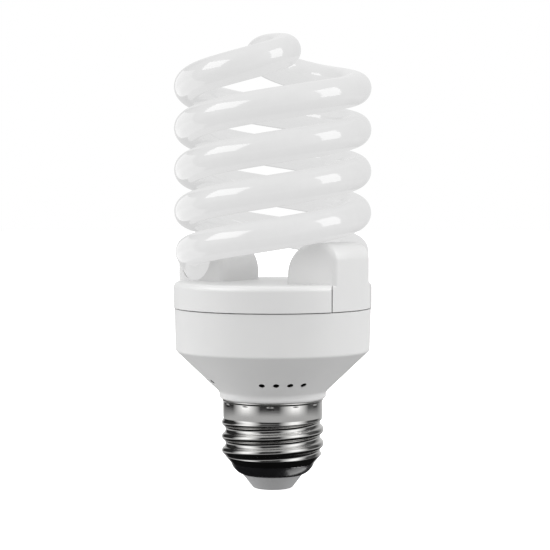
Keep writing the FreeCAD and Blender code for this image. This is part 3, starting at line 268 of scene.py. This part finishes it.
# %% [markdown]
# ## The spiral tube
# The CAD tube is exact, but its triangles follow the sweep and would show in the gloss. The same
# centreline, written here as a formula, gives rings of even quads instead. A leg is a helix that
# dips and tucks in where it enters its hood, and ends in half of the S-shaped bridge. The other leg is
# the same one, turned half round the axis.

# %% Sizes of the tube
# Bearings are in degrees from the lamp's right, seen from above
tube_low, tube_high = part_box("spiral_tube")
GLASS_RADIUS = 4.0 * MM
LEG_PITCH = 21.1 * MM
LEG_TURNS = 2.215
LEG_END_TURN = 3.0
HOOD_BEARING = 147.6
HOOD_HALF_WIDTH = 8.7 * MM
DIP_RUN = 8.5 * MM
DIP_SLOPE = 0.46
TUCK_RUN = 11.0 * MM
TUCK_AFTER = 2.6 * MM
TUCK_DEPTH = 1.56 * MM
BRIDGE_RISE = 7.1 * MM
coil_radius = tube_high.x - GLASS_RADIUS
bridge_top = tube_high.z - GLASS_RADIUS
helix_top = bridge_top - BRIDGE_RISE
entry_turn = math.degrees(math.asin(HOOD_HALF_WIDTH / coil_radius))
print("coil radius in mm:", round(coil_radius / MM, 2), "helix top:", round(helix_top / MM, 2))


# %% The tube's centreline
def at_bearing(reach, degrees, height):
    turn = math.radians(degrees)
    return Vector((reach * math.cos(turn), reach * math.sin(turn), height))


def ease(share):
    """From nought to one, level at both ends."""
    return share ** 2 * (3 - 2 * share)


def leg_point(turn):
    """A leg's centreline, at degrees of turn above the middle of its hood."""
    past_entry = math.radians(entry_turn - turn) * coil_radius
    share = min(max((TUCK_AFTER - past_entry) / TUCK_RUN, 0), 1)
    reach = coil_radius - TUCK_DEPTH * (1 - ease(share))
    travelled = max(past_entry + DIP_RUN, 0)
    bent = min(travelled, DIP_RUN)
    dip = DIP_SLOPE * (bent ** 2 / (2 * DIP_RUN) + travelled - bent)
    height = helix_top - LEG_PITCH * (LEG_TURNS - turn / 360) - dip
    return at_bearing(reach, HOOD_BEARING + turn, height)


def bridge_point(share):
    """Half of the bridge, from the helix to the axis."""
    bearing = HOOD_BEARING + 360 * LEG_TURNS
    climb = BRIDGE_RISE * ease(share) + LEG_PITCH / 4 * share * (1 - share) ** 2
    bow = coil_radius / 2
    return at_bearing(bow, bearing, helix_top + climb) + at_bearing(bow, bearing + 180 * share, 0)


def tube_line(degrees_apart):
    """The whole centreline, from one leg's end to the other's."""
    top = 360 * LEG_TURNS
    count = round((top + LEG_END_TURN) / degrees_apart)
    half = [leg_point(-LEG_END_TURN + (top + LEG_END_TURN) * step / count) for step in range(count)]
    arch = round(180 / degrees_apart)
    half += [bridge_point(step / arch) for step in range(arch + 1)]
    other = [Vector((-point.x, -point.y, point.z)) for point in reversed(half[:-1])]
    return half + other


centreline = tube_line(3.0)
print("points on the centreline:", len(centreline))


# %% Rings to a mesh
def ring_mesh(name, rings, closed=False):
    """A skin of quads over equal rings, with its ends closed, or joined to each other."""
    around = len(rings[0])
    points = [point for ring in rings for point in ring]
    faces = []
    for row in range(len(rings) if closed else len(rings) - 1):
        low, high = row * around, (row + 1) % len(rings) * around
        for step in range(around):
            after = (step + 1) % around
            faces.append((low + step, low + after, high + after, high + step))
    if not closed:
        faces.append(tuple(reversed(range(around))))
        faces.append(tuple(range(len(points) - around, len(points))))
    mesh = bpy.data.meshes.new(name)
    mesh.from_pydata(points, [], faces)
    mesh.shade_smooth()
    made = bpy.data.objects.new(name, mesh)
    bpy.context.scene.collection.objects.link(made)
    print(name, "faces:", len(faces))
    return made


def tube_rings(line, radius, around):
    """Rings square to a line, each turned as little as possible from the one before."""
    rings = []
    side = None
    for here, point in enumerate(line):
        way = (line[min(here + 1, len(line) - 1)] - line[max(here - 1, 0)]).normalized()
        side = side or way.orthogonal()
        side = (side - way * side.dot(way)).normalized()
        other = way.cross(side)
        turns = [2 * math.pi * step / around for step in range(around)]
        rings.append([point + (side * math.cos(turn) + other * math.sin(turn)) * radius for turn in turns])
    return rings


TUBE_SIDES = 48
rings = tube_rings(centreline, GLASS_RADIUS, TUBE_SIDES)
print("rings of the tube:", len(rings))

# %% The tube itself
tube = ring_mesh("opal_tube", rings)
tube.data.materials.append(glass_finish)
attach(tube, "root")
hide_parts("spiral_tube")

# %% [markdown]
# ## Bright nickel
# The shell is thin brass with nickel on it, as bright as a mirror. A mirror needs no colour of its
# own: it shows the room. What makes it real is the trace of the rolling tool, fine lines round the
# shell, and a few dull patches from handling.


# %% Nickel
def bright_nickel():
    finish = new_finish("bright_nickel")
    place = finish.place()
    drawn = finish.node("ShaderNodeMapping", None, {"Vector": place, "Scale": (0.04, 0.04, 1.0)})
    lines = finish.noise(0.12 * MM, 2.0, drawn)
    handled = finish.noise(5 * MM, 3.0)
    return finish.surface(
        Base_Color=finish.blend(handled, (0.74, 0.735, 0.72, 1), (0.80, 0.795, 0.785, 1)),
        Metallic=1.0,
        Roughness=0.05 + 0.06 * handled,
        Normal=finish.bump(lines, 0.002 * MM),
    )


nickel = bright_nickel()
print("metal:", nickel.name)

# %% [markdown]
# ## The screw shell
# A rolled lamp thread is a soft wave of equal arcs, without a machine thread's sharp edges. It fades
# into the plain skirt above and the narrow nose below. The skirt bulges by a hair, as thin rolled
# metal does, and its crimps have soft edges. A mirror finish shows every triangle, so the shell is
# made here from one formula: a radius for each height and bearing.

# %% Sizes of the shell
shell_low, shell_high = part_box("screw_shell")
CREST_RADIUS = 13.12 * MM
THREAD_DEPTH = 0.95 * MM
THREAD_PITCH = 3.629 * MM
CREST_HEIGHT = 4.27 * MM
SHELL_WALL = 0.3 * MM
BEAD_HEIGHT = 0.75 * MM
BEAD_ROUND = 0.42 * MM
SKIRT_RADIUS = 12.8 * MM
SKIRT_HEIGHT = 4.8 * MM
SKIRT_RUN = 1.2 * MM
SKIRT_BULGE = 0.06 * MM
NOSE_RADIUS = 10.7 * MM
NOSE_HEIGHT = 2.9 * MM
CRIMP_COUNT = 12
CRIMP_BEARING = 267.0
CRIMP_DROP = 1.3 * MM
CRIMP_RADIUS = 0.45 * MM
CRIMP_DEPTH = 0.14 * MM
skirt_end = shell_high.z - SKIRT_HEIGHT
print("shell from", round(shell_low.z / MM, 2), "to", round(shell_high.z / MM, 2))


# %% The shell's radius
def smooth(low, high, value):
    """Nought up to the low value and one from the high one."""
    return ease(min(max((value - low) / (high - low), 0), 1))


def thread_wave(height, bearing):
    """The thread's radius: equal arcs for crest and root."""
    arc = ((THREAD_PITCH / 4) ** 2 + (THREAD_DEPTH / 2) ** 2) / THREAD_DEPTH
    lead = (height - CREST_HEIGHT) / THREAD_PITCH - bearing / 360
    off = (lead + 0.5) % 1 - 0.5
    along = abs(off) * THREAD_PITCH
    if along < THREAD_PITCH / 4:
        return CREST_RADIUS - arc + math.sqrt(arc ** 2 - along ** 2)
    along = THREAD_PITCH / 2 - along
    return CREST_RADIUS - THREAD_DEPTH + arc - math.sqrt(arc ** 2 - along ** 2)


def crimp(height, bearing):
    """How deep a crimp of the skirt is here."""
    step = 360 / CRIMP_COUNT
    off = (bearing - CRIMP_BEARING + step / 2) % step - step / 2
    across = math.radians(off) * SKIRT_RADIUS
    distance = math.hypot(across, height - (shell_high.z - CRIMP_DROP))
    return CRIMP_DEPTH * (1 - smooth(0, CRIMP_RADIUS, distance))


def bead(height):
    """How far the rolled bead at the rim stands out here."""
    half = BEAD_HEIGHT / 2
    off = height - (shell_high.z - half)
    if abs(off) >= half:
        return 0
    return math.sqrt(BEAD_ROUND ** 2 - off ** 2) - math.sqrt(BEAD_ROUND ** 2 - half ** 2)


def shell_radius(height, bearing):
    """Thread, skirt and nose in one."""
    plain = smooth(skirt_end - SKIRT_RUN, skirt_end, height)
    from_middle = 2 * (shell_high.z - height) / SKIRT_HEIGHT - 1
    skirt = SKIRT_RADIUS - SKIRT_BULGE * min(from_middle ** 2, 1)
    radius = thread_wave(height, bearing) * (1 - plain) + skirt * plain
    nose = NOSE_RADIUS + (CREST_RADIUS - NOSE_RADIUS) * (height - shell_low.z) / NOSE_HEIGHT
    return min(radius, nose) + bead(height) - crimp(height, bearing)


print("skirt radius in mm:", round(shell_radius(shell_high.z, 0) / MM, 2))


# %% The shell itself
def shell_rings(rows, around):
    """The outside from the rim down, then the inside back up, a wall's thickness in."""
    bearings = [360 * step / around for step in range(around)]
    heights = [shell_high.z + (shell_low.z - shell_high.z) * row / rows for row in range(rows + 1)]
    outside = [[at_bearing(shell_radius(height, b), b, height) for b in bearings] for height in heights]
    inside = [[at_bearing(shell_radius(height, b) - SHELL_WALL, b, height) for b in bearings]
              for height in reversed(heights[::4])]
    return outside + inside


SHELL_ROWS = 300
SHELL_SIDES = 192
shell = ring_mesh("threaded_shell", shell_rings(SHELL_ROWS, SHELL_SIDES), closed=True)
shell.data.materials.append(nickel)
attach(shell, "root")
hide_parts("screw_shell")

# %% [markdown]
# ## Black glass and the centre contact
# Below the shell sits a ring of black glass, poured hot, so its surface has a slow wave. The contact
# in its middle is stamped and tinned, which leaves it grey and dull.


# %% Black glass
def black_glass():
    finish = new_finish("black_glass")
    flow = finish.noise(3 * MM, 1.0)
    return finish.surface(
        Base_Color=finish.blend(flow, (0.006, 0.006, 0.007, 1), (0.014, 0.014, 0.015, 1)),
        Roughness=0.20 + 0.08 * flow,
        IOR=1.52,
        Normal=finish.bump(flow, 0.05 * MM),
    )


dress("base_insulator", black_glass())


# %% Tinned contact
def tinned_contact():
    finish = new_finish("tinned_contact")
    grain = finish.noise(0.5 * MM, 4.0)
    return finish.surface(
        Base_Color=finish.blend(grain, (0.42, 0.42, 0.425, 1), (0.53, 0.53, 0.535, 1)),
        Metallic=0.1,
        Roughness=0.42 + 0.16 * grain,
        Normal=finish.bump(grain, 0.02 * MM),
    )


dress("centre_contact", tinned_contact())

# %% [markdown]
# ## The ballast inside
# Nobody sees the circuit until the housing is cut open, but the model holds it. Each kind of part gets
# a simple finish with its own grain, from one function.


# %% Finishes for the ballast
def plain_grain(name, dark, light, roughness, metallic):
    finish = new_finish(name)
    grain = finish.noise(0.6 * MM, 3.0)
    return finish.surface(
        Base_Color=finish.blend(grain, (*dark, 1), (*light, 1)),
        Metallic=metallic,
        Roughness=roughness + 0.1 * grain,
        Normal=finish.bump(grain, 0.01 * MM),
    )


# Each finish: its pieces, the dark and the light of its grain, its roughness and how metallic it is
BALLAST = {
    "set_cement": (("tube_cement",), (0.72, 0.71, 0.68), (0.80, 0.79, 0.76), 0.8, 0.0),
    "board_laminate": (("circuit_board",), (0.42, 0.29, 0.15), (0.52, 0.38, 0.21), 0.55, 0.0),
    "tinned_wire": (("wrap_pins", "filament_leads"), (0.55, 0.55, 0.55), (0.66, 0.66, 0.65), 0.3, 1.0),
    "wire_sleeve": (("shell_lead", "contact_lead"), (0.66, 0.66, 0.63), (0.74, 0.74, 0.71), 0.45, 0.0),
    "capacitor_sleeve": (("reservoir_capacitor",), (0.02, 0.02, 0.025), (0.04, 0.04, 0.05), 0.4, 0.0),
    "ferrite": (("choke_core", "drive_ring", "line_choke"), (0.06, 0.06, 0.065),
                (0.1, 0.1, 0.105), 0.6, 0.2),
    "bobbin_plastic": (("choke_bobbin",), (0.03, 0.03, 0.03), (0.05, 0.05, 0.05), 0.5, 0.0),
    "enamelled_copper": (("choke_winding", "drive_windings"), (0.40, 0.15, 0.06),
                         (0.55, 0.24, 0.1), 0.3, 1.0),
    "dipped_film": (("resonant_capacitor", "coupling_capacitor"), (0.3, 0.05, 0.02),
                    (0.4, 0.08, 0.04), 0.3, 0.0),
    "moulded_black": (("switching_transistors", "rectifier_diodes"), (0.015, 0.015, 0.015),
                      (0.03, 0.03, 0.03), 0.55, 0.0),
    "dipped_blue": (("starting_thermistor",), (0.05, 0.10, 0.25), (0.08, 0.15, 0.32), 0.4, 0.0),
    "lacquer": (("fuse_resistor", "bias_resistors"), (0.42, 0.31, 0.18), (0.52, 0.4, 0.25), 0.35, 0.0),
    "bead_glass": (("trigger_diode",), (0.35, 0.10, 0.04), (0.45, 0.16, 0.07), 0.15, 0.0),
}
for name, (pieces, dark, light, roughness, metallic) in BALLAST.items():
    finish = plain_grain(name, dark, light, roughness, metallic)
    for piece in pieces:
        dress(piece, finish)
print("ballast finishes:", len(BALLAST))

# %% [markdown]
# ## The floor
# A product picture stands on a white table that runs out of sight. The floor here is for the camera
# alone. It throws no light on the lamp and casts no shade, because the room does that work and can
# be set more finely than a table.

# %% The floor
FLOOR_SIZE = 6.0


def pale_floor():
    finish = new_finish("pale_floor")
    return finish.surface(
        Base_Color=(0.9, 0.9, 0.9, 1),
        Roughness=0.9,
        Emission_Color=(1, 1, 1, 1),
        Emission_Strength=0.75,
    )


half = FLOOR_SIZE / 2
floor_mesh = bpy.data.meshes.new("floor")
corners = [(-half, -half, 0), (half, -half, 0), (half, half, 0), (-half, half, 0)]
floor_mesh.from_pydata(corners, [], [(0, 1, 2, 3)])
floor_mesh.materials.append(pale_floor())
floor = bpy.data.objects.new("floor", floor_mesh)
bpy.context.scene.collection.objects.link(floor)
floor.visible_diffuse = False
floor.visible_glossy = False
floor.visible_shadow = False
print("floor in metres:", FLOOR_SIZE)

# %% [markdown]
# ## The haze
# Dull surfaces don't show what lights them, only how much comes from where. The lamp in the picture is
# brightest on top and at both sides, and dims towards the camera. Three numbers in the sky give just
# that: a level, a rise with height and a rise to the sides.

# %% The haze that lights dull surfaces
HAZE_LEVEL = 0.76
HAZE_WITH_HEIGHT = 0.79
HAZE_AT_SIDES = 0.495
SIDES_FADE = 0.6


def haze(room, x, height):
    """How bright the sky is each way: x goes to the lamp's right, and height goes up."""
    sides = x * x * (1 - SIDES_FADE * height)
    return room.maths("MAXIMUM", HAZE_LEVEL + HAZE_WITH_HEIGHT * height + HAZE_AT_SIDES * sides, 0)


print("haze straight up:", HAZE_LEVEL + HAZE_WITH_HEIGHT)

# %% [markdown]
# ## What gloss reflects
# A nickel shell is a mirror, so it shows what stands round it. Photographers put white panels and
# black cards round bright metal, and without the cards it looks like grey paint. Two ramps hold them
# here: one goes round the lamp, and one goes from the table to the ceiling.

# %% Panels and cards
# Round the lamp from behind it, over its left, its front and its right: white panels and black cards
ROUND_THE_LAMP = (
    (0.0, 0.9), (0.04, 0.7), (0.09, 0.02), (0.21, 0.02), (0.30, 1.2), (0.34, 1.2), (0.42, 0.03),
    (0.54, 0.03), (0.63, 1.2), (0.67, 1.2), (0.75, 0.08), (0.84, 0.05), (0.91, 0.5), (1.0, 0.9),
)
# From straight down to straight up: a black table with a grey far edge, and a pale ceiling
TABLE = ((0.0, 0.004), (0.29, 0.006), (0.36, 0.40), (0.40, 0.48), (0.5, 0.46), (0.85, 0.36), (1.0, 0.5))
PANEL_FOOT = (-0.17, -0.10)
PANEL_HEAD = (0.9, 0.55)


def fade(room, value, ends):
    """Nought up to the first end and one from the second."""
    sockets = {"Value": value, "From Min": ends[0], "From Max": ends[1]}
    return room.node("ShaderNodeMapRange", None, sockets)


def reflections(room, x, y, height):
    """What a mirror sees each way."""
    around = room.maths("ARCTAN2", x, -1 * y) * (0.5 / math.pi) + 0.5
    panels = room.node("ShaderNodeValToRGB", {"stops": ROUND_THE_LAMP}, {"Fac": around}, "Color")
    table = room.node("ShaderNodeValToRGB", {"stops": TABLE}, {"Fac": height * 0.5 + 0.5}, "Color")
    on_panels = fade(room, height, PANEL_FOOT) * fade(room, height, PANEL_HEAD)
    return room.blend(on_panels, table, panels)


print("stops round the lamp:", len(ROUND_THE_LAMP))


# %% The room
def studio_room():
    """White for the camera, the haze for dull surfaces and the panels for gloss."""
    room = Finish(bpy.data.worlds.new("studio"))
    x, y, height = room.axes(room.node("ShaderNodeTexCoord", output="Generated"))
    skies = ((1, 1, 1, 1), haze(room, x, height), reflections(room, x, y, height))
    white, soft, mirror = (room.node("ShaderNodeBackground", None, {"Color": sky}) for sky in skies)
    gloss = room.node("ShaderNodeLightPath", output="Is Glossy Ray")
    seen = room.node("ShaderNodeLightPath", output="Is Camera Ray")
    unseen = room.node("ShaderNodeMixShader", None, {0: gloss, 1: soft, 2: mirror})
    both = room.node("ShaderNodeMixShader", None, {0: seen, 1: unseen, 2: white})
    room.node("ShaderNodeOutputWorld", None, {"Surface": both})
    return room.owner


bpy.context.scene.world = studio_room()
print("room:", bpy.context.scene.world.name)

# %% [markdown]
# ## Softboxes
# Two softboxes make the long highlights on the glass, and they would spoil the nickel's dark bands.
# Light linking gives each box its own pieces: the white ones, the glass alone for a bright rim, or the
# black ring for a sheen. The last two are the light that a white table throws back up, for dull surfaces.


# %% Which pieces a box is for
def gloss_group(name, pieces):
    group = bpy.data.collections.new(name)
    for piece in pieces:
        group.objects.link(piece)
    return group


pale_pieces = gloss_group("pale_pieces", (tube, nodes["tube_cover"], nodes["ballast_housing"]))
glass_pieces = gloss_group("glass_pieces", (tube,))
black_pieces = gloss_group("black_pieces", (nodes["base_insulator"],))

# %% The softboxes
SOFTBOX_DISTANCE = 0.9
# Bearing and elevation in degrees, width and height in metres, brightness, and whose gloss it is for
SOFTBOXES = {
    "softbox_left": (204, 31, 0.72, 0.56, 6.5, pale_pieces),
    "softbox_right": (340, 26, 0.43, 0.75, 6.5, pale_pieces),
    "rim_left": (140, -14, 0.9, 1.3, 1.4, glass_pieces),
    "sheen_right": (14, -52, 0.8, 0.5, 3.0, black_pieces),
    "table_left": (150, -35, 0.5, 0.5, 3.75, None),
    "table_right": (30, -35, 0.5, 0.5, 2.4, None),
}


def softbox(name, bearing, elevation, width, height, brightness, gloss_on):
    """A lit panel that faces the lamp, for the gloss of some pieces, or else for all that is dull."""
    middle = Vector((0, 0, cad_high.z / 2))
    light = bpy.data.lights.new(name, "AREA")
    light.shape = "RECTANGLE"
    light.size = width
    light.size_y = height
    light.energy = brightness * math.pi * width * height
    made = bpy.data.objects.new(name, light)
    rise = math.radians(elevation)
    level, up = SOFTBOX_DISTANCE * math.cos(rise), SOFTBOX_DISTANCE * math.sin(rise)
    made.location = middle + at_bearing(level, bearing, up)
    made.rotation_mode = "QUATERNION"
    made.rotation_quaternion = (middle - made.location).to_track_quat("-Z", "Y")
    made.light_linking.receiver_collection = gloss_on
    made.visible_diffuse = gloss_on is None
    made.visible_glossy = gloss_on is not None
    bpy.context.scene.collection.objects.link(made)
    print(name, "energy:", round(light.energy, 2))


for name, settings in SOFTBOXES.items():
    softbox(name, *settings)

# %% [markdown]
# ## The camera
# The picture's scale comes from the screw thread, a standard size. The row where level lines would meet
# gives the camera's height, and the ellipses of the housing its distance.

# %% The camera
PHOTO_PIXELS = 550
PIXELS_PER_METRE = 3905
HORIZON_ROW = 195
AXIS_COLUMN = 272.7
EYE_HEIGHT = 75.2 * MM
CAMERA_DISTANCE = 0.43
SENSOR = 36.0
half_picture = PHOTO_PIXELS / 2
aim = Vector((
    (half_picture - AXIS_COLUMN) / PIXELS_PER_METRE,
    0,
    EYE_HEIGHT - (half_picture - HORIZON_ROW) / PIXELS_PER_METRE,
))
camera = bpy.data.objects.new("camera", bpy.data.cameras.new("camera"))
camera.data.sensor_width = SENSOR
camera.data.lens = SENSOR * PIXELS_PER_METRE * CAMERA_DISTANCE / PHOTO_PIXELS
camera.location = (0, -CAMERA_DISTANCE, EYE_HEIGHT)
camera.rotation_mode = "QUATERNION"
camera.rotation_quaternion = (aim - camera.location).to_track_quat("-Z", "Y")
bpy.context.scene.collection.objects.link(camera)
bpy.context.scene.camera = camera
bpy.context.scene.view_settings.view_transform = "Standard"
print("lens in mm:", round(camera.data.lens, 1))
